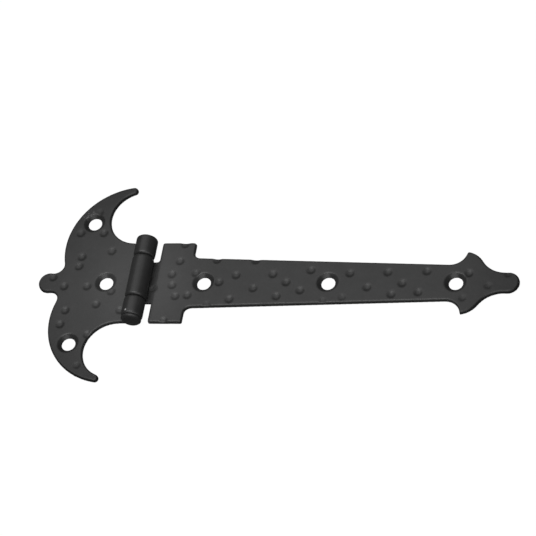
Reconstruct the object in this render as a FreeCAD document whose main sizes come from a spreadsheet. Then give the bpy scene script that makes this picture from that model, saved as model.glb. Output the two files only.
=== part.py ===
import FreeCAD, Part
import math
import os
from types import SimpleNamespace

import Sketcher

# Ornamental shutter hinge of hammered, black powder-coated sheet steel. Three pieces: a crescent
# leaf for the window frame, a long tapering strap leaf for the shutter, and the pin between them.
#
# X runs along the strap towards its tip, Y along the pin and Z out of the front faces. The backs
# of both leaves lie on z = 0 when the hinge is flat, and the pin crosses over x = 0, y = 0.
# All sizes are millimetres and degrees.

SIZES = [
    ("sheet_thickness", 2.0, "both leaves"),
    ("leaf_width", 39.0, "along the pin: cross bar, crescent's straight middle and pin"),
    ("edge_bevel", 0.25, "broken front edges of both leaves"),
    ("pin_diameter", 5.0, "shank"),
    ("pin_clearance", 0.1, "radial, between the shank and the rolled eyes"),
    ("pin_head_inset", 0.05, "how far the head's rim lies inside the eye's, on the radius"),
    ("pin_head_length", 1.4, "along the pin"),
    ("pin_head_bevel", 0.7, "outer edge of the head"),
    ("pin_end_bevel", 0.4, "plain end"),
    ("eye_wrap_angle", 298.0, "angle through which the sheet is rolled round the pin"),
    ("eye_gap", 0.2, "axial play between the middle eye and each outer eye"),
    ("eye_edge_bevel", 0.5, "outer edges of the rolled eyes"),
    ("middle_eye_length", 20.2, "strap's eye, along the pin"),
    ("notch_clearance", 0.5, "crescent's notch to the middle eye"),
    ("notch_corner", 0.5, "radius in the corners of the notch"),
    ("slot_width", 1.5, "outer eyes to the cross bar"),
    ("slot_corner", 0.8, "radius where the cross bar leaves the tab"),
    ("bar_length", 14.7, "cross bar, along the strap"),
    ("bar_corner", 0.6, "outer corners of the cross bar"),
    ("bar_fillet", 3.0, "inner corners between the cross bar and the strap"),
    ("strap_length", 155.0, "near edge of the cross bar to the tip"),
    ("strap_root_width", 23.8, "where the fillet runs out"),
    ("strap_end_width", 16.8, "where the scoop starts"),
    ("scoop_radius", 7.0, "hollow behind the barb"),
    ("barb_width", 29.2, "point to point"),
    ("barb_setback", 22.8, "barb points back from the tip"),
    ("shoulder_radius", 9.7, "spade shoulders in front of the barb"),
    ("shoulder_setback", 24.4, "centres of the shoulders back from the tip"),
    ("neck_radius", 12.0, "hollow between shoulder and tip"),
    ("tip_radius", 4.6, "round tip"),
    ("crescent_radius", 30.15, "outer arcs of the crescent"),
    ("crescent_reach", 37.55, "pin to the furthest points of the outer arcs"),
    ("horn_span", 96.0, "over the two horn points"),
    ("horn_setback", 11.95, "centres of the rounded horn points back from the pin"),
    ("horn_radius", 1.47, "rounded horn points"),
    ("bite_setback", 6.6, "centres of the horns' inner arcs back from the pin"),
    ("nub_length", 8.45, "beyond the furthest points of the outer arcs"),
    ("nub_radius", 4.53, "round end of the nub"),
    ("cove_radius", 4.0, "hollows beside the nub"),
    ("screw_hole", 6.0, "diameter"),
    ("countersink", 9.4, "diameter at the front face"),
    ("countersink_angle", 90.0, "included angle"),
    ("strap_first_hole", 27.2, "from the pin"),
    ("strap_hole_pitch", 53.8, "between the strap's three holes"),
    ("middle_hole_setback", 16.0, "crescent's middle hole back from the pin"),
    ("horn_hole_setback", 26.9, "horn holes back from the pin"),
    ("horn_hole_spacing", 60.0, "between the two horn holes"),
    ("dent_radius", 4.5, "ball of a hammer dent"),
    ("dent_depth", 0.6, "hammer dents"),
]

# Hammer dents as (x, y) of their centres on the front faces, placed at random by hand.
CRESCENT_DENTS = [
    (-31.9, 24.6), (-21.5, 24.6), (-16.1, 15.4), (-29.0, 12.6), (-29.4, 7.8), (-40.0, 2.3),
    (-34.1, -2.2), (-23.8, -2.2), (-12.6, -4.6), (-18.0, -11.1), (-31.2, -14.1),
    (-32.1, -21.0), (-19.1, -25.8), (-6.9, -13.9),
]
STRAP_DENTS = [
    (16.1, 18.8), (15.3, 10.3), (12.9, 3.8), (13.9, -1.6), (16.2, -7.0), (21.4, -6.5),
    (23.4, 4.3), (5.9, -3.1), (13.1, -18.9), (31.5, 11.0), (48.5, 10.6), (34.2, -0.2),
    (41.1, 3.3), (49.5, -3.1), (40.0, -8.5), (57.0, 3.8), (63.3, -0.2), (60.1, -7.0),
    (69.9, -4.1), (73.1, 5.7), (90.0, 4.2), (98.2, -2.6), (106.0, 4.7), (112.7, -0.7),
    (108.8, -6.0), (120.0, -5.0), (122.4, 5.1), (140.0, 4.1),
]

# Each dent's ball is kept this far round from its lowest point: past the dent's rim, and clear
# of the barrel.
DENT_ANGLE = 35.0

V = FreeCAD.Vector
X_AXIS, Y_AXIS = range(-1, -3, -1)
START, END, CENTRE = range(1, 4)
ORIGIN = (X_AXIS, START)

PIN_HEIGHT = "(Sizes.pin_diameter / 2 + Sizes.pin_clearance + Sizes.sheet_thickness)"

doc = FreeCAD.newDocument("ShutterHinge")
sheet = doc.addObject("Spreadsheet::Sheet", "Sizes")
for row, (name, value, note) in enumerate(SIZES, 1):
    sheet.set("A%d" % row, name)
    sheet.set("B%d" % row, str(value))
    sheet.set("C%d" % row, note)
    sheet.setAlias("B%d" % row, name)
doc.recompute()

# The same sizes as numbers, to draw each sketch close to its solution.
size = SimpleNamespace(**{name: value for name, value, note in SIZES})
pin_height = size.pin_diameter / 2 + size.pin_clearance + size.sheet_thickness
half_width = size.leaf_width / 2
half_eye = size.middle_eye_length / 2


def heading(a, b):
    return math.degrees(math.atan2(b[1] - a[1], b[0] - a[0]))


def centre_off(a, a_distance, b, b_distance, side):
    """Point at the two distances from a and b, to the left of a-b for side 1, right for -1."""
    dx, dy = b[0] - a[0], b[1] - a[1]
    gap = math.hypot(dx, dy)
    along = (gap ** 2 + a_distance ** 2 - b_distance ** 2) / (2 * gap)
    off = side * math.sqrt(a_distance ** 2 - along ** 2)
    return (a[0] + (dx * along - dy * off) / gap, a[1] + (dy * along + dx * off) / gap)


class Drawing:
    """A sketch on one of its own body's origin planes, sized from the sheet."""

    def __init__(self, body, name, plane):
        self.sketch = body.newObject("Sketcher::SketchObject", name)
        support = next(f for f in body.Origin.OriginFeatures if f.Role == plane)
        self.sketch.AttachmentSupport = [(support, "")]
        self.sketch.MapMode = "FlatFace"

    def line(self, a, b, construction=False):
        return self.sketch.addGeometry(Part.LineSegment(V(*a, 0), V(*b, 0)), construction)

    def arc(self, centre, radius, start, end):
        """Arc that runs counter-clockwise between two angles in degrees."""
        circle = Part.Circle(V(*centre, 0), V(0, 0, 1), radius)
        edge = Part.ArcOfCircle(circle, math.radians(start), math.radians(end))
        return self.sketch.addGeometry(edge, False)

    def circle(self, centre, radius):
        return self.sketch.addGeometry(Part.Circle(V(*centre, 0), V(0, 0, 1), radius), False)

    def tie(self, kind, *ends):
        return self.sketch.addConstraint(Sketcher.Constraint(kind, *ends))

    def bind(self, index, name, formula):
        self.sketch.renameConstraint(index, name)
        self.sketch.setExpression("Constraints." + name, formula)

    def radius(self, name, formula, edge):
        value = self.sketch.Geometry[edge].Radius
        self.bind(self.tie("Radius", edge, value), name, formula)

    def across(self, name, formula, left, right):
        value = self.sketch.getPoint(*right).x - self.sketch.getPoint(*left).x
        self.bind(self.tie("DistanceX", *left, *right, value), name, formula)

    def up(self, name, formula, low, high):
        value = self.sketch.getPoint(*high).y - self.sketch.getPoint(*low).y
        self.bind(self.tie("DistanceY", *low, *high, value), name, formula)


def new_body(name):
    return doc.addObject("PartDesign::Body", name)


def pad_both_halves(body, outline):
    """Sheet of half an outline, mirrored about the middle, with its front edges broken."""
    pad = body.newObject("PartDesign::Pad", body.Name + "Half")
    pad.Profile = outline
    pad.setExpression("Length", "Sizes.sheet_thickness")
    outline.Visibility = False

    both = body.newObject("PartDesign::Mirrored", body.Name + "Flat")
    both.Originals = [pad]
    both.MirrorPlane = (next(f for f in body.Origin.OriginFeatures if f.Role == "XZ_Plane"), [""])
    body.Tip = both
    doc.recompute()

    # Every edge of the front face but the one under the pin, where the sheet rolls on.
    front = []
    for number, edge in enumerate(both.Shape.Edges, 1):
        box = edge.BoundBox
        flush = abs(box.ZMin - size.sheet_thickness) < 1e-6 and box.ZLength < 1e-6
        under_pin = abs(box.XMin) < 1e-6 and abs(box.XMax) < 1e-6
        if flush and not under_pin:
            front.append("Edge%d" % number)
    bevel = body.newObject("PartDesign::Chamfer", body.Name + "Edges")
    bevel.Base = (both, front)
    bevel.setExpression("Size", "Sizes.edge_bevel")


def roll_eye(body, name, low, low_formula, high, high_formula, reverse):
    """Rolls the sheet on round the pin from the line under it, between two places along it."""
    thick, cut = size.sheet_thickness, size.eye_edge_bevel
    draw = Drawing(body, name + "Section", "YZ_Plane")
    back = draw.line((low + cut, 0), (high - cut, 0))
    far_bevel = draw.line((high - cut, 0), (high, cut))
    far_side = draw.line((high, cut), (high, thick))
    front = draw.line((high, thick), (low, thick))
    near_side = draw.line((low, thick), (low, cut))
    near_bevel = draw.line((low, cut), (low + cut, 0))
    axis = draw.line((low, pin_height), (high, pin_height), True)

    ring = (back, far_bevel, far_side, front, near_side, near_bevel)
    for edge, following in zip(ring, ring[1:] + ring[:1]):
        draw.tie("Coincident", edge, END, following, START)
    draw.tie("PointOnObject", back, START, X_AXIS)
    for level in (back, front, axis):
        draw.tie("Horizontal", level)
    for upright in (near_side, far_side):
        draw.tie("Vertical", upright)
    draw.tie("Vertical", axis, START, near_side, START)
    draw.tie("Vertical", axis, END, far_side, END)
    draw.across("far_bevel_width", "Sizes.eye_edge_bevel", (far_bevel, START), (far_bevel, END))
    draw.up("far_bevel_height", "Sizes.eye_edge_bevel", (far_bevel, START), (far_bevel, END))
    draw.across("near_bevel_width", "Sizes.eye_edge_bevel",
                (near_bevel, START), (near_bevel, END))
    draw.up("near_bevel_height", "Sizes.eye_edge_bevel", (near_bevel, END), (near_bevel, START))
    draw.up("thickness", "Sizes.sheet_thickness", ORIGIN, (front, START))
    draw.up("pin_height", PIN_HEIGHT, ORIGIN, (axis, START))
    draw.across("far_end", high_formula, ORIGIN, (front, START))
    if low < 0:
        draw.across("near_end", low_formula, (front, END), ORIGIN)
    else:
        draw.across("near_end", low_formula, ORIGIN, (front, END))

    eye = body.newObject("PartDesign::Revolution", name)
    eye.Profile = draw.sketch
    eye.ReferenceAxis = (draw.sketch, ["Axis0"])
    eye.setExpression("Angle", "Sizes.eye_wrap_angle")
    eye.Reversed = reverse
    draw.sketch.Visibility = False
    doc.recompute()
    return eye


def screw_holes(body, name, places):
    """Countersunk holes at places given as (x, formula of x, y, formula of y)."""
    draw = Drawing(body, name + "Centres", "XY_Plane")
    draw.sketch.setExpression("AttachmentOffset.Base.z", "Sizes.sheet_thickness")
    for number, (x, x_formula, y, y_formula) in enumerate(places, 1):
        ring = draw.circle((x, y), size.screw_hole / 2)
        draw.radius("bore_%d" % number, "Sizes.screw_hole / 2", ring)
        centre = (ring, CENTRE)
        x_ends = (ORIGIN, centre) if x > 0 else (centre, ORIGIN)
        draw.across("place_%d" % number, x_formula, *x_ends)
        if y_formula:
            y_ends = (ORIGIN, centre) if y > 0 else (centre, ORIGIN)
            draw.up("side_%d" % number, y_formula, *y_ends)
        else:
            draw.tie("PointOnObject", *centre, X_AXIS)
    doc.recompute()

    before = body.Shape.Volume
    holes = body.newObject("PartDesign::Hole", name)
    holes.Profile = draw.sketch
    holes.DepthType = "ThroughAll"
    holes.HoleCutType = "Countersink"
    holes.setExpression("Diameter", "Sizes.screw_hole")
    holes.setExpression("HoleCutDiameter", "Sizes.countersink")
    holes.setExpression("HoleCutCountersinkAngle", "Sizes.countersink_angle")
    draw.sketch.Visibility = False
    doc.recompute()
    if body.Shape.Volume >= before:
        raise RuntimeError("the screw holes of %s cut nothing" % body.Name)
    return holes


def dent(label, place):
    """Slice of a ball, its axis level and its wedge pointing down, that dips into the front face."""
    ball = doc.addObject("Part::Sphere", "Dent")
    ball.setExpression("Radius", "Sizes.dent_radius")
    ball.Angle1 = -DENT_ANGLE
    ball.Angle2 = DENT_ANGLE
    ball.Angle3 = 2 * DENT_ANGLE
    level = FreeCAD.Rotation(V(1, 0, 0), 90)
    downward = FreeCAD.Rotation(V(0, 0, 1), -90 - DENT_ANGLE)
    ball.Placement = FreeCAD.Placement(V(*place, 0), level * downward)
    rise = "Sizes.sheet_thickness + Sizes.dent_radius - Sizes.dent_depth"
    ball.setExpression("Placement.Base.z", rise)
    ball.Label = "%s dent %g, %g" % (label, *place)
    return ball


def hammered(label, body, places):
    """The sub-part: a leaf with its hammer dents."""
    tools = doc.addObject("Part::Compound", body.Name + "Dents")
    tools.Links = [dent(label, place) for place in places]
    leaf = doc.addObject("Part::Cut", body.Name + "Hammered")
    leaf.Base = body
    leaf.Tool = tools
    leaf.Label = label
    doc.recompute()
    if leaf.Shape.Volume >= body.Shape.Volume:
        raise RuntimeError("the dents of %s cut nothing" % label)
    return leaf


def strap_outline(body):
    """Half of the strap leaf: tab under the pin, cross bar, taper, barb, spade shoulder and tip."""
    bar = pin_height + size.slot_width
    bar_end = bar + size.bar_length
    tip_end = bar + size.strap_length
    slot, corner, fillet = size.slot_corner, size.bar_corner, size.bar_fillet
    root, end = size.strap_root_width / 2, size.strap_end_width / 2
    barb = (tip_end - size.barb_setback, size.barb_width / 2)
    taper_start = (bar_end + fillet, root)
    taper_end = (barb[0] - size.scoop_radius, end)
    slope = heading(taper_start, taper_end)
    tip = (tip_end - size.tip_radius, 0)
    shoulder_x = tip_end - size.shoulder_setback
    drop = math.sqrt(size.shoulder_radius ** 2 - (barb[0] - shoulder_x) ** 2)
    shoulder = (shoulder_x, barb[1] - drop)
    neck = centre_off(shoulder, size.shoulder_radius + size.neck_radius,
                      tip, size.tip_radius + size.neck_radius, 1)
    scoop = (taper_end[0], end + size.scoop_radius)

    draw = Drawing(body, "StrapOutline", "XY_Plane")
    pin_line = draw.line((0, 0), (0, half_eye))
    tab_side = draw.line((0, half_eye), (bar - slot, half_eye))
    slot_arc = draw.arc((bar - slot, half_eye + slot), slot, 270, 360)
    bar_near = draw.line((bar, half_eye + slot), (bar, half_width - corner))
    near_arc = draw.arc((bar + corner, half_width - corner), corner, 90, 180)
    bar_side = draw.line((bar + corner, half_width), (bar_end - corner, half_width))
    far_arc = draw.arc((bar_end - corner, half_width - corner), corner, 0, 90)
    bar_far = draw.line((bar_end, half_width - corner), (bar_end, root + fillet))
    root_arc = draw.arc((bar_end + fillet, root + fillet), fillet, 180, 270 + slope)
    taper = draw.line(taper_start, taper_end)
    scoop_arc = draw.arc(scoop, size.scoop_radius, 270 + slope, 360 + heading(scoop, barb))
    shoulder_arc = draw.arc(shoulder, size.shoulder_radius,
                            heading(shoulder, neck), heading(shoulder, barb))
    neck_arc = draw.arc(neck, size.neck_radius,
                        360 + heading(neck, shoulder), 360 + heading(neck, tip))
    tip_arc = draw.arc(tip, size.tip_radius, 0, heading(tip, neck))
    middle = draw.line((tip_end, 0), (0, 0))

    draw.tie("Coincident", pin_line, START, *ORIGIN)
    draw.tie("Vertical", pin_line)
    draw.tie("Coincident", pin_line, END, tab_side, START)
    draw.tie("Horizontal", tab_side)
    draw.tie("Tangent", tab_side, END, slot_arc, START)
    draw.tie("Tangent", slot_arc, END, bar_near, START)
    draw.tie("Vertical", bar_near)
    draw.tie("Tangent", bar_near, END, near_arc, END)
    draw.tie("Tangent", near_arc, START, bar_side, START)
    draw.tie("Horizontal", bar_side)
    draw.tie("Tangent", bar_side, END, far_arc, END)
    draw.tie("Tangent", far_arc, START, bar_far, START)
    draw.tie("Vertical", bar_far)
    draw.tie("Tangent", bar_far, END, root_arc, START)
    draw.tie("Tangent", root_arc, END, taper, START)
    draw.tie("Tangent", taper, END, scoop_arc, START)
    draw.tie("Coincident", scoop_arc, END, shoulder_arc, END)
    draw.tie("Tangent", shoulder_arc, START, neck_arc, START)
    draw.tie("Tangent", neck_arc, END, tip_arc, END)
    draw.tie("PointOnObject", tip_arc, START, X_AXIS)
    draw.tie("PointOnObject", tip_arc, CENTRE, X_AXIS)
    draw.tie("Coincident", tip_arc, START, middle, START)
    draw.tie("Coincident", middle, END, pin_line, START)

    draw.up("half_eye", "Sizes.middle_eye_length / 2", ORIGIN, (tab_side, START))
    draw.across("bar_place", PIN_HEIGHT + " + Sizes.slot_width", ORIGIN, (bar_near, START))
    draw.up("half_width", "Sizes.leaf_width / 2", ORIGIN, (bar_side, START))
    draw.across("bar_length", "Sizes.bar_length", (bar_near, END), (bar_far, START))
    draw.radius("slot_corner", "Sizes.slot_corner", slot_arc)
    draw.radius("near_corner", "Sizes.bar_corner", near_arc)
    draw.radius("far_corner", "Sizes.bar_corner", far_arc)
    draw.radius("bar_fillet", "Sizes.bar_fillet", root_arc)
    draw.up("half_root", "Sizes.strap_root_width / 2", ORIGIN, (taper, START))
    draw.up("half_end", "Sizes.strap_end_width / 2", ORIGIN, (taper, END))
    draw.radius("scoop", "Sizes.scoop_radius", scoop_arc)
    draw.up("half_barb", "Sizes.barb_width / 2", ORIGIN, (scoop_arc, END))
    draw.across("barb_setback", "Sizes.barb_setback", (scoop_arc, END), (tip_arc, START))
    draw.radius("shoulder", "Sizes.shoulder_radius", shoulder_arc)
    draw.across("shoulder_setback", "Sizes.shoulder_setback",
                (shoulder_arc, CENTRE), (tip_arc, START))
    draw.radius("neck", "Sizes.neck_radius", neck_arc)
    draw.radius("tip", "Sizes.tip_radius", tip_arc)
    draw.across("strap_length", "Sizes.strap_length", (bar_near, START), (tip_arc, START))
    return draw.sketch


def crescent_outline(body):
    """Half of the crescent leaf: notch for the middle eye, straight middle, horn and nub."""
    notch = pin_height + size.notch_clearance
    eye = half_eye + size.eye_gap
    corner = size.notch_corner
    horn = (-size.horn_setback, size.horn_span / 2 - size.horn_radius)
    rise, run = horn[1] - half_width, horn[0] + size.bite_setback
    bite_radius = (run ** 2 + rise ** 2 - size.horn_radius ** 2) / (2 * (rise + size.horn_radius))
    bite = (-size.bite_setback, half_width + bite_radius)
    disc_x = size.crescent_radius - size.crescent_reach
    drop = math.sqrt((size.crescent_radius - size.horn_radius) ** 2 - (horn[0] - disc_x) ** 2)
    disc = (disc_x, horn[1] - drop)
    nub_end = size.crescent_reach + size.nub_length
    nub = (size.nub_radius - nub_end, 0)
    cove = centre_off(disc, size.crescent_radius + size.cove_radius,
                      nub, size.nub_radius + size.cove_radius, -1)

    draw = Drawing(body, "CrescentOutline", "XY_Plane")
    notch_end = draw.line((-notch, 0), (-notch, eye - corner))
    notch_arc = draw.arc((-notch + corner, eye - corner), corner, 90, 180)
    notch_side = draw.line((-notch + corner, eye), (0, eye))
    pin_line = draw.line((0, eye), (0, half_width))
    straight = draw.line((0, half_width), (bite[0], half_width))
    bite_arc = draw.arc(bite, bite_radius, heading(bite, horn), 270)
    horn_arc = draw.arc(horn, size.horn_radius, heading(horn, bite), heading(disc, horn))
    outer_arc = draw.arc(disc, size.crescent_radius,
                         heading(disc, horn), 360 + heading(disc, cove))
    cove_arc = draw.arc(cove, size.cove_radius, heading(cove, nub), heading(cove, disc))
    nub_arc = draw.arc(nub, size.nub_radius, heading(nub, cove), 180)
    middle = draw.line((-nub_end, 0), (-notch, 0))

    draw.tie("PointOnObject", notch_end, START, X_AXIS)
    draw.tie("Vertical", notch_end)
    draw.tie("Tangent", notch_end, END, notch_arc, END)
    draw.tie("Tangent", notch_arc, START, notch_side, START)
    draw.tie("Horizontal", notch_side)
    draw.tie("Coincident", notch_side, END, pin_line, START)
    draw.tie("PointOnObject", pin_line, START, Y_AXIS)
    draw.tie("Vertical", pin_line)
    draw.tie("Coincident", pin_line, END, straight, START)
    draw.tie("Horizontal", straight)
    draw.tie("Tangent", straight, END, bite_arc, END)
    draw.tie("Tangent", bite_arc, START, horn_arc, START)
    draw.tie("Tangent", horn_arc, END, outer_arc, START)
    draw.tie("Tangent", outer_arc, END, cove_arc, END)
    draw.tie("Tangent", cove_arc, START, nub_arc, START)
    draw.tie("PointOnObject", nub_arc, END, X_AXIS)
    draw.tie("PointOnObject", nub_arc, CENTRE, X_AXIS)
    draw.tie("Coincident", nub_arc, END, middle, START)
    draw.tie("Coincident", middle, END, notch_end, START)

    draw.across("notch_place", PIN_HEIGHT + " + Sizes.notch_clearance",
                (notch_end, START), ORIGIN)
    draw.up("notch_side", "Sizes.middle_eye_length / 2 + Sizes.eye_gap",
            ORIGIN, (pin_line, START))
    draw.radius("notch_corner", "Sizes.notch_corner", notch_arc)
    draw.up("half_width", "Sizes.leaf_width / 2", ORIGIN, (straight, START))
    draw.across("bite_setback", "Sizes.bite_setback", (bite_arc, CENTRE), ORIGIN)
    draw.radius("horn", "Sizes.horn_radius", horn_arc)
    draw.across("horn_setback", "Sizes.horn_setback", (horn_arc, CENTRE), ORIGIN)
    draw.up("horn_side", "Sizes.horn_span / 2 - Sizes.horn_radius", ORIGIN, (horn_arc, CENTRE))
    draw.radius("outer", "Sizes.crescent_radius", outer_arc)
    draw.across("outer_place", "Sizes.crescent_radius + Sizes.nub_length",
                (nub_arc, END), (outer_arc, CENTRE))
    draw.radius("cove", "Sizes.cove_radius", cove_arc)
    draw.radius("nub", "Sizes.nub_radius", nub_arc)
    draw.across("nub_end", "Sizes.crescent_reach + Sizes.nub_length", (nub_arc, END), ORIGIN)
    return draw.sketch


# Strap leaf: the sheet comes in flat under the pin and rolls up round the far side of it.
strap = new_body("Strap")
pad_both_halves(strap, strap_outline(strap))
roll_eye(strap, "StrapEye", -half_eye, "Sizes.middle_eye_length / 2",
         half_eye, "Sizes.middle_eye_length / 2", False)
hole_places = []
for step in range(3):
    hole_x = size.strap_first_hole + step * size.strap_hole_pitch
    hole_formula = "Sizes.strap_first_hole + %d * Sizes.strap_hole_pitch" % step
    hole_places.append((hole_x, hole_formula, 0, ""))
screw_holes(strap, "StrapHoles", hole_places)
strap_leaf = hammered("strap_leaf", strap, STRAP_DENTS)

# Crescent leaf: two outer eyes, rolled the other way, on either side of the strap's.
crescent = new_body("Crescent")
pad_both_halves(crescent, crescent_outline(crescent))
outer_eye = roll_eye(crescent, "OuterEye", half_eye + size.eye_gap,
                     "Sizes.middle_eye_length / 2 + Sizes.eye_gap",
                     half_width, "Sizes.leaf_width / 2", True)
both_eyes = crescent.newObject("PartDesign::Mirrored", "OuterEyes")
both_eyes.Originals = [outer_eye]
both_eyes.MirrorPlane = (
    next(f for f in crescent.Origin.OriginFeatures if f.Role == "XZ_Plane"), [""])
crescent.Tip = both_eyes
doc.recompute()
horn_side = size.horn_hole_spacing / 2
screw_holes(crescent, "CrescentHoles", [
    (-size.middle_hole_setback, "Sizes.middle_hole_setback", 0, ""),
    (-size.horn_hole_setback, "Sizes.horn_hole_setback",
     horn_side, "Sizes.horn_hole_spacing / 2"),
    (-size.horn_hole_setback, "Sizes.horn_hole_setback",
     -horn_side, "Sizes.horn_hole_spacing / 2"),
])
crescent_leaf = hammered("crescent_leaf", crescent, CRESCENT_DENTS)

# Pin: its head seats on the lower outer eye and its plain end finishes level with the upper one.
pin = new_body("Pin")
pin.Label = "hinge_pin"
pin.setExpression("Placement.Base.z", PIN_HEIGHT)
shank = size.pin_diameter / 2
head = pin_height - size.pin_head_inset
head_end = -half_width - size.pin_head_length
head_cut, end_cut = size.pin_head_bevel, size.pin_end_bevel
profile = Drawing(pin, "PinProfile", "XY_Plane")
head_face = profile.line((0, head_end), (head - head_cut, head_end))
head_bevel = profile.line((head - head_cut, head_end), (head, head_end + head_cut))
head_rim = profile.line((head, head_end + head_cut), (head, -half_width))
seat = profile.line((head, -half_width), (shank, -half_width))
shank_side = profile.line((shank, -half_width), (shank, half_width - end_cut))
end_bevel = profile.line((shank, half_width - end_cut), (shank - end_cut, half_width))
end_face = profile.line((shank - end_cut, half_width), (0, half_width))
core = profile.line((0, half_width), (0, head_end))
ring = (head_face, head_bevel, head_rim, seat, shank_side, end_bevel, end_face, core)
for edge, following in zip(ring, ring[1:] + ring[:1]):
    profile.tie("Coincident", edge, END, following, START)
profile.tie("PointOnObject", core, START, Y_AXIS)
profile.tie("PointOnObject", core, END, Y_AXIS)
for level in (head_face, seat, end_face):
    profile.tie("Horizontal", level)
for upright in (head_rim, shank_side):
    profile.tie("Vertical", upright)
profile.across("head_bevel_width", "Sizes.pin_head_bevel", (head_bevel, START), (head_bevel, END))
profile.up("head_bevel_length", "Sizes.pin_head_bevel", (head_bevel, START), (head_bevel, END))
profile.across("head_radius", PIN_HEIGHT + " - Sizes.pin_head_inset", ORIGIN, (seat, START))
profile.across("shank_radius", "Sizes.pin_diameter / 2", ORIGIN, (seat, END))
profile.up("seat_place", "Sizes.leaf_width / 2", (seat, START), ORIGIN)
profile.up("head_length", "Sizes.pin_head_length", (head_face, START), (seat, START))
profile.up("end_place", "Sizes.leaf_width / 2", ORIGIN, (end_face, START))
profile.across("end_bevel_width", "Sizes.pin_end_bevel", (end_bevel, END), (end_bevel, START))
profile.up("end_bevel_length", "Sizes.pin_end_bevel", (end_bevel, START), (end_bevel, END))
turned = pin.newObject("PartDesign::Revolution", "PinTurned")
turned.Profile = profile.sketch
turned.ReferenceAxis = (profile.sketch, ["V_Axis"])
turned.Angle = 360
profile.sketch.Visibility = False
doc.recompute()

for thing in doc.Objects:
    if "Invalid" in thing.State or "Error" in thing.State:
        raise RuntimeError("%s failed: %s" % (thing.Name, thing.State))
os.makedirs("parts", exist_ok=True)
for node in (crescent_leaf, strap_leaf, pin):
    if node.Shape.isNull() or not node.Shape.isValid():
        raise RuntimeError("%s has no valid shape" % node.Label)
for node in (crescent_leaf, strap_leaf, pin):
    node.Shape.exportStep("parts/%s.step" % node.Label)
    box = node.Shape.BoundBox
    print(node.Label, "solids", len(node.Shape.Solids), "volume", round(node.Shape.Volume, 2),
          "x", round(box.XMin, 2), round(box.XMax, 2), "y", round(box.YMin, 2),
          round(box.YMax, 2), "z", round(box.ZMin, 2), round(box.ZMax, 2))
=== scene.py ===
import math

import bmesh
import bpy
import numpy as np
from mathutils import Matrix


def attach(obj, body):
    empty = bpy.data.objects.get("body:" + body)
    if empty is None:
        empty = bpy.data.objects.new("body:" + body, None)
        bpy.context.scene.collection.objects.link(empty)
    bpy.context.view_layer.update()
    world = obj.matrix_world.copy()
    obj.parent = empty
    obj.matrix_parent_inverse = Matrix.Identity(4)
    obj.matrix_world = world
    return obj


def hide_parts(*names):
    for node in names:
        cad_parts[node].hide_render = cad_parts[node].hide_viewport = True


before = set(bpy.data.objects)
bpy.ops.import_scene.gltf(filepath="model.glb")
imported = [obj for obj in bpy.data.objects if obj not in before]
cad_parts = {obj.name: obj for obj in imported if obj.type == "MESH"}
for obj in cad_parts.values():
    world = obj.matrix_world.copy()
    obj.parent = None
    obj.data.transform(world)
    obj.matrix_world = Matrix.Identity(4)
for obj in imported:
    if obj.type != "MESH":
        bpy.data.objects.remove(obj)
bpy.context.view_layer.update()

MM = 0.001


# Shader values

class Value:
    """A value in a material; arithmetic on it adds its Math nodes."""

    def __init__(self, finish, socket):
        self.finish = finish
        self.socket = socket

    def maths(self, operation, other):
        """This value and another, put through a Math node."""
        return self.finish.add("Math", {"operation": operation}, {0: self, 1: other})

    def __add__(self, other):
        return self.maths("ADD", other)

    __radd__ = __add__

    def __mul__(self, other):
        return self.maths("MULTIPLY", other)

    __rmul__ = __mul__

    def __sub__(self, other):
        return self.maths("SUBTRACT", other)

    def __rsub__(self, other):
        return self * -1.0 + other

    def between(self, low, high):
        """0 up to low and 1 from high on, with a soft start and end."""
        inputs = {"Value": self, "From Min": low, "From Max": high}
        return self.finish.add("MapRange", {"interpolation_type": "SMOOTHSTEP"}, inputs)


class Finish:
    """A material's nodes."""

    def __init__(self, name):
        self.material = bpy.data.materials.new(name)
        self.material.use_nodes = True
        self.tree = self.material.node_tree
        self.tree.nodes.clear()

    def add(self, kind, settings=None, inputs=None, out=0):
        """Adds a node, with its settings first, and gives back one of its outputs."""
        node = self.tree.nodes.new("ShaderNode" + kind)
        for name, setting in (settings or {}).items():
            setattr(node, name, setting)
        for name, given in (inputs or {}).items():
            if isinstance(given, Value):
                self.tree.links.new(given.socket, node.inputs[name])
            else:
                node.inputs[name].default_value = given
        return Value(self, node.outputs[out]) if node.outputs else None


def grey(level):
    """A colour without a hue."""
    return (level, level, level, 1.0)


# The black coat

# The noises that make it uneven: scale, detail and roughness.
CLOUD = (220.0, 3.0, 0.6)
GRAIN = (1400.0, 2.0, 0.5)
BEAT = (90.0, 2.0, 0.5)
SCRATCH = (1800.0, 2.0, 0.5)

# How high the noises stand in its surface, how much each counts in its shade, and the middle of that
# shade, which is taken off it.
GRAIN_HEIGHT = 0.010 * MM
CLOUD_HEIGHT = 0.03 * MM
BEAT_HEIGHT = 0.12 * MM
CLOUD_SHARE = 0.6
GRAIN_SHARE = 0.4
MIDDLE_SHADE = 0.5

# Its darkest and palest colours, how far the plain coat lies from the first to the second, and what
# its shade, the painted sheen beside the eyes and the painted shade at the dull ends do to that.
DARKEST = grey(0.008)
PALEST = grey(0.046)
COAT_LIGHT = 0.378
SHADE_LIGHT = 0.5
EYE_PAINTED_SHEEN = 0.45
ENDS_PAINTED_SHADE = 0.35

COAT_ROUGHNESS = 0.36
SHADE_ROUGHNESS = 0.1
DULL_ROUGHNESS = 0.1
COAT_SPECULAR = 0.5

# The sheet beside the eyes is painted paler, a painted highlight where the light falls brighter near
# the barrel. That fades between these distances from the point under the pin's middle, and between
# these heights, so that the eyes themselves have none of it.
EYE_SHEEN_REACH = (0.008, 0.032)
EYE_SHEEN_HEIGHT = (0.0022, 0.003)

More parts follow.
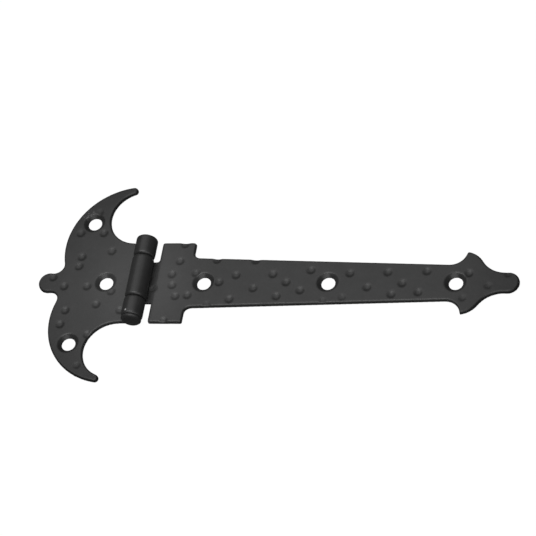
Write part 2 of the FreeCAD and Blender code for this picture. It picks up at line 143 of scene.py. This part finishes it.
# Distances from the same point where each piece's coat starts to get dull and darker, and where it is
# dullest and darkest. The dullness is the coat's own; the darkening is painted shade where the light
# falls off towards the ends.
DULL_SHADED_ENDS = {"crescent_leaf": (0.03, 0.052), "strap_leaf": (0.13, 0.165), "hinge_pin": (0.03, 0.052)}

# The coat is rubbed beside the crescent's upper hole, and a painted glint, a small bright spot that
# stands in for a highlight, sits at the end of one of its eyes. The distances are those between which
# each mark fades.
RUBBED = {"crescent_leaf": [(-0.0293, 0.0350, 0.002), (-0.0312, 0.0330, 0.002)]}
RUB_FADE = (0.0006, 0.0022)
RUB_SCRATCHES = (0.5, 0.62)
RUB_LIGHT = 2.4
PAINTED_GLINTS = {"crescent_leaf": [(-0.0016, -0.0179, 0.0089)]}
GLINT_FADE = (0.0002, 0.0006)
GLINT_LIGHT = 8.0

# The sockets of a Mix node that mixes colours.
MIX_FACTOR = 0
MIX_FROM = 6
MIX_TO = 7
MIX_COLOUR = 2


def black_coat(node_name):
    """Satin black powder coat over hammered sheet, with painted sheen, painted shade and a painted
    glint.
    """
    finish = Finish("black_coat_" + node_name)
    where = finish.add("TexCoord", {}, {}, "Object")

    def noise(scale, detail, roughness):
        return finish.add("TexNoise", {}, {
            "Vector": where, "Scale": scale, "Detail": detail, "Roughness": roughness})

    def away_from(place):
        return finish.add("VectorMath", {"operation": "DISTANCE"}, {0: where, 1: place}, "Value")

    cloud = noise(*CLOUD)
    grain = noise(*GRAIN)
    shade = cloud * CLOUD_SHARE + grain * GRAIN_SHARE - MIDDLE_SHADE
    reach = away_from((0.0, 0.0, 0.0))
    height_up = finish.add("SeparateXYZ", {}, {"Vector": where}, "Z")
    # Painted sheen: the sheet beside the eyes is made paler, a painted highlight near the barrel.
    painted_sheen_near_eyes = (1.0 - reach.between(*EYE_SHEEN_REACH)) * (1.0 - height_up.between(*EYE_SHEEN_HEIGHT))
    # Painted shade: the coat darkens towards the ends as the light falls off; its roughness there is
    # the coat's own.
    dull_shaded_ends = reach.between(*DULL_SHADED_ENDS[node_name])

    light = COAT_LIGHT + SHADE_LIGHT * shade + EYE_PAINTED_SHEEN * painted_sheen_near_eyes - ENDS_PAINTED_SHADE * dull_shaded_ends
    for place in RUBBED.get(node_name, []):
        rub = 1.0 - away_from(place).between(*RUB_FADE)
        light = light + RUB_LIGHT * rub * noise(*SCRATCH).between(*RUB_SCRATCHES)
    # Painted glint: a small bright spot on one eye's end, standing in for a highlight.
    for place in PAINTED_GLINTS.get(node_name, []):
        light = light + GLINT_LIGHT * (1.0 - away_from(place).between(*GLINT_FADE))
    colour = finish.add(
        "Mix", {"data_type": "RGBA", "clamp_factor": False},
        {MIX_FACTOR: light, MIX_FROM: DARKEST, MIX_TO: PALEST}, MIX_COLOUR)

    height = grain * GRAIN_HEIGHT + cloud * CLOUD_HEIGHT + noise(*BEAT) * BEAT_HEIGHT
    skin = finish.add("Bump", {}, {"Height": height, "Distance": 1.0, "Strength": 1.0})
    roughness = COAT_ROUGHNESS + SHADE_ROUGHNESS * shade + DULL_ROUGHNESS * dull_shaded_ends
    coat = finish.add("BsdfPrincipled", {}, {
        "Base Color": colour, "Roughness": roughness, "Specular IOR Level": COAT_SPECULAR,
        "Normal": skin})
    finish.add("OutputMaterial", {}, {"Surface": coat})
    return finish.material


# The hammered pieces

# Each piece's body, how fine its skin is, and the share of that skin that is kept.
PIECES = {
    "crescent_leaf": ("frame_side", 0.22 * MM, 0.5),
    "strap_leaf": ("shutter_side", 0.22 * MM, 0.4),
    "hinge_pin": ("frame_side", 0.15 * MM, 0.5),
}

# The skin is laid askew to the strap's edges, so that no straight edge runs along its rows.
SKEW = Matrix.Rotation(math.radians(27.0), 4, "Z")
WELD = 0.0005 * MM

# The height of the sheet's front, the heights between which the front and its dents lie, and the
# height above which there are only eyes and pin.
SHEET_FRONT = 2.0 * MM
FRONT_LOW = 1.2 * MM
FRONT_HIGH = 2.1 * MM
SHEET_HIGH = 2.2 * MM

# Normals on the sheet's front are more upright than the first, those on its rim less than the second.
FRONT_UPRIGHT = 0.8
RIM_UPRIGHT = 0.85

# Softening moves each point this share of the way, for as many rounds as each region has.
SOFT_STEP = 0.5
FACING_ROUNDS = 4
EDGE_ROUNDS = 3
RIM_ROUNDS = 26
RIM_BLEND_ROUNDS = 2
EYE_ROUNDS = 6
MARK_ROUNDS = 6

# The coat on the sheet's cut edges, how many millimetres from the pin it starts, and from how many
# millimetres above the back the edges are rounded.
WALL_COAT = 0.15 * MM
WALL_COAT_START = 6.0
RIM_START = 0.5

# The dents: how deep, how much of their slope is bent into a soft rim, and how aslant they lie.
MARK_DEPTH = 0.6 * MM
MARK_BEND = 0.6
MARK_LEAN = 0.25

# Where the hammer only grazed the sheet: x and y of the middle, in mm.
GRAZES = {
    "crescent_leaf": [(-25.3, 35.3), (-20.7, -40.9)],
    "strap_leaf": [
        (30.6, -11.0), (88.3, -7.5), (80.2, -9.2), (148.6, -1.9), (138.7, -7.7), (156.3, 3.8)],
    "hinge_pin": [],
}
GRAZE_RADIUS = 1.8 * MM
GRAZE_DEPTH = 0.36 * MM

# Between which places the strap dips towards the pin, how steeply, and where its eye begins.
DIP_START = 7.0 * MM
DIP_END = 4.6 * MM
DIP_SLOPE = math.tan(math.radians(13.0))
UNDER_EYE = 2.0 * MM

# The rolled eyes and the pin's head are rounded off towards these places along the pin, in mm.
PIN_HEIGHT = 4.6 * MM
EYE_ENDS = {
    "crescent_leaf": (-19.5, -10.3, 10.3),
    "strap_leaf": (-10.1, 10.1),
    "hinge_pin": (-19.5, -20.9),
}
EYE_LOW = 2.15 * MM
EYE_REACH = 5.0 * MM
EYE_INSIDE = 3.3 * MM
EYE_ROUND_REACH = 1.5 * MM
EYE_ROUND_DEPTH = 0.45 * MM


def changed(mesh, kind, settings):
    """The mesh after one of Blender's modifiers."""
    blank = bpy.data.objects.new("blank", mesh)
    bpy.context.scene.collection.objects.link(blank)
    modifier = blank.modifiers.new(kind, kind)
    for name, setting in settings.items():
        setattr(modifier, name, setting)
    evaluated = blank.evaluated_get(bpy.context.evaluated_depsgraph_get())
    done = bpy.data.meshes.new_from_object(evaluated)
    bpy.data.objects.remove(blank)
    return done


def soften(points, edges, rounds, region=1.0):
    """Draws each point of the region toward the middle of its neighbours, that many times."""
    ends = np.concatenate([edges, edges[:, ::-1]])
    neighbours = np.bincount(ends[:, 0], minlength=len(points))
    share = SOFT_STEP * region
    for _ in range(rounds):
        for axis in range(points.shape[1]):
            middle = np.bincount(ends[:, 0], points[ends[:, 1], axis], len(points)) / neighbours
            points[:, axis] += share * (middle - points[:, axis])


def ramp(lengths, start):
    """0 up to start and 1 from a millimetre past it, start being in millimetres."""
    return np.clip(lengths / MM - start, 0.0, 1.0)


def fine_skin(node_name, fineness):
    """An even skin of small faces over the CAD solid."""
    shell = bmesh.new()
    shell.from_mesh(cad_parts[node_name].data)
    bmesh.ops.remove_doubles(shell, verts=shell.verts, dist=WELD)
    mesh = bpy.data.meshes.new("shell")
    shell.to_mesh(mesh)
    shell.free()
    mesh.transform(SKEW)
    mesh = changed(mesh, "REMESH", {"mode": "VOXEL", "voxel_size": fineness})
    mesh.transform(SKEW.inverted())
    return mesh


def coat_walls(points, facing, up):
    """Thickens the coat on the sheet's cut edges, away from the barrel."""
    walls = (abs(up) < FRONT_UPRIGHT) * (points[:, 2] < SHEET_HIGH)
    thickness = WALL_COAT * (walls * ramp(abs(points[:, 0]), WALL_COAT_START))
    points[:, :2] += thickness[:, None] * facing[:, :2]


def shape_marks(node_name, points, front):
    """Gives the dents soft rims and a slight slant, and adds the grazes."""
    dip = np.clip(SHEET_FRONT - points[:, 2], 0.0, None)
    points[:, 2] += front * (dip - dip**(1.0 + MARK_BEND) / MARK_DEPTH**MARK_BEND)
    points[:, 1] -= MARK_LEAN * front * dip
    for x, y in GRAZES[node_name]:
        away = np.hypot(points[:, 0] - x * MM, points[:, 1] - y * MM) / GRAZE_RADIUS
        points[:, 2] -= GRAZE_DEPTH * front * np.clip(1.0 - away**2, 0.0, 1.0)


def dip_to_pin(points, front):
    """Lets the strap's front run down a little before its eye."""
    run = np.clip(DIP_START - points[:, 0], 0.0, DIP_START - DIP_END)
    points[:, 2] -= DIP_SLOPE * run * front * (points[:, 0] > UNDER_EYE)


def round_eye_ends(node_name, points, eyes):
    """Draws the outside of the eyes, and of the pin's head, in towards their ends."""
    radius = np.hypot(points[:, 0], points[:, 2] - PIN_HEIGHT)
    to_end = np.min([abs(points[:, 1] - y * MM) for y in EYE_ENDS[node_name]], axis=0)
    rounded = EYE_ROUND_DEPTH * np.clip(1.0 - to_end / EYE_ROUND_REACH, 0.0, 1.0)**2 * eyes
    drawn_in = 1.0 - rounded * (radius > EYE_INSIDE) / radius
    points[:, 0] *= drawn_in
    points[:, 2] = PIN_HEIGHT + (points[:, 2] - PIN_HEIGHT) * drawn_in


def soft_edged(node_name, fineness, kept):
    """The CAD solid with its edges and hammer marks softened, as a coat of powder leaves them."""
    mesh = fine_skin(node_name, fineness)
    points = np.array([v.co for v in mesh.vertices])
    edges = np.array([e.vertices for e in mesh.edges])
    facing = np.array([n.vector for n in mesh.vertex_normals])
    up = facing[:, 2].copy()
    soften(facing, edges, FACING_ROUNDS)
    front = (up > FRONT_UPRIGHT) & (points[:, 2] > FRONT_LOW) & (points[:, 2] < FRONT_HIGH)

    coat_walls(points, facing, up)
    shape_marks(node_name, points, front)
    if node_name == "strap_leaf":
        dip_to_pin(points, front)
    eyes = (points[:, 2] > EYE_LOW) & (abs(points[:, 0]) < EYE_REACH)
    round_eye_ends(node_name, points, eyes)

    rim = ramp(points[:, 2], RIM_START) * ((up < RIM_UPRIGHT) & (points[:, 2] < SHEET_HIGH))
    rim_blend = rim[:, None]
    soften(rim_blend, edges, RIM_BLEND_ROUNDS)
    soften(points, edges, EDGE_ROUNDS)
    soften(points, edges, RIM_ROUNDS, rim_blend[:, 0])
    soften(points, edges, EYE_ROUNDS, eyes)
    soften(points, edges, MARK_ROUNDS, front)
    mesh.vertices.foreach_set("co", points.ravel())
    mesh = changed(mesh, "DECIMATE", {"ratio": kept})
    for face in mesh.polygons:
        face.use_smooth = True
    return mesh


for node_name, (body, fineness, kept) in PIECES.items():
    mesh = soft_edged(node_name, fineness, kept)
    mesh.materials.clear()
    mesh.materials.append(black_coat(node_name))
    piece = bpy.data.objects.new("coated_" + node_name, mesh)
    bpy.context.scene.collection.objects.link(piece)
    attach(piece, body)
    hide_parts(node_name)


# Floor and light

FLOOR_REACH = 6.0
FLOOR_DROP = 0.1 * MM
WHITE = grey(1.0)

# The floor's colour where the camera sees it, and its darker colour as it lights the hinge.
FLOOR_PALE = grey(0.8)
FLOOR_DARK = grey(0.04)

# How bright the floor's white is, and how much of what camera and glossy rays see is that white. The
# rest keeps the shadow.
FLOOR_WHITENESS = 1.04
CAMERA_SHARE = 0.93
GLOSSY_SHARE = 0.04

WORLD_LIGHT = 0.06

# Each lamp's middle, width, depth, watts, and tilt towards the back of the studio in degrees.
SOFTBOXES = {
    "overhead_softbox": ((-0.22, 0.28, 0.5), 0.48, 0.66, 0.66, 0.0),
    "weaker_softbox": ((0.18, 0.28, 0.5), 0.32, 0.66, 0.28, 0.0),
    "top_strip": ((-0.07, -0.065, 0.5), 0.5, 0.37, 2.2, 0.0),
    "front_panel": ((0.4, -0.92, 0.55), 1.4, 0.7, 5.0, 60.0),
}


def floor_finish():
    """Pale floor: white to the camera, with the hinge's soft shadow kept."""
    finish = Finish("pale_floor")
    path = {}
    for ray in ("Is Camera Ray", "Is Glossy Ray", "Is Transmission Ray"):
        path[ray] = finish.add("LightPath", {}, {}, ray)
    dark = finish.add("BsdfDiffuse", {}, {"Color": FLOOR_DARK})
    pale = finish.add("BsdfDiffuse", {}, {"Color": FLOOR_PALE})
    plain = finish.add("MixShader", {}, {0: path["Is Camera Ray"], 1: dark, 2: pale})
    white = finish.add("Emission", {}, {"Color": WHITE, "Strength": FLOOR_WHITENESS})
    seen = CAMERA_SHARE * path["Is Camera Ray"] + GLOSSY_SHARE * path["Is Glossy Ray"]
    mixed = finish.add("MixShader", {}, {0: seen + path["Is Transmission Ray"], 1: plain, 2: white})
    finish.add("OutputMaterial", {}, {"Surface": mixed})
    return finish.material


def add_floor():
    """A plain floor just under the hinge."""
    sides = ((-1, -1), (1, -1), (1, 1), (-1, 1))
    corners = [(x * FLOOR_REACH, y * FLOOR_REACH, 0.0) for x, y in sides]
    mesh = bpy.data.meshes.new("floor")
    mesh.from_pydata(corners, [], [(0, 1, 2, 3)])
    mesh.materials.append(floor_finish())
    floor = bpy.data.objects.new("floor", mesh)
    floor.location.z = -FLOOR_DROP
    bpy.context.scene.collection.objects.link(floor)


def add_world():
    """Faint even light from all round."""
    world = bpy.data.worlds.new("studio")
    world.use_nodes = True
    background = world.node_tree.nodes["Background"]
    background.inputs["Color"].default_value = WHITE
    background.inputs["Strength"].default_value = WORLD_LIGHT
    bpy.context.scene.world = world


def softbox(name, middle, width, depth, watts, tilt):
    """A soft lamp out of the camera's sight, hung level or tilted to face the back of the studio."""
    lamp = bpy.data.lights.new(name, "AREA")
    lamp.shape = "RECTANGLE"
    lamp.size = width
    lamp.size_y = depth
    lamp.energy = watts
    holder = bpy.data.objects.new(name, lamp)
    holder.location = middle
    holder.rotation_euler.x = math.radians(tilt)
    holder.visible_camera = False
    bpy.context.scene.collection.objects.link(holder)


add_floor()
add_world()
for name, settings in SOFTBOXES.items():
    softbox(name, *settings)


# The photograph's camera

CAMERA_PLACE = (0.401993, -0.612463, 0.962972)
CAMERA_TURN = (33.9343, 14.2190, 9.2533)
CAMERA_LENS = 193.535
CAMERA_SENSOR = 36.0
CAMERA_SIGHT = (0.05, 20.0)


def add_camera():
    """The camera that the photograph was taken with, as its lines give it; turns in degrees."""
    lens = bpy.data.cameras.new("camera")
    lens.lens = CAMERA_LENS
    lens.sensor_width = CAMERA_SENSOR
    lens.clip_start, lens.clip_end = CAMERA_SIGHT
    camera = bpy.data.objects.new("camera", lens)
    camera.location = CAMERA_PLACE
    camera.rotation_euler = [math.radians(turn) for turn in CAMERA_TURN]
    bpy.context.scene.collection.objects.link(camera)
    bpy.context.scene.camera = camera


add_camera()
bpy.context.scene.view_settings.view_transform = "Standard"
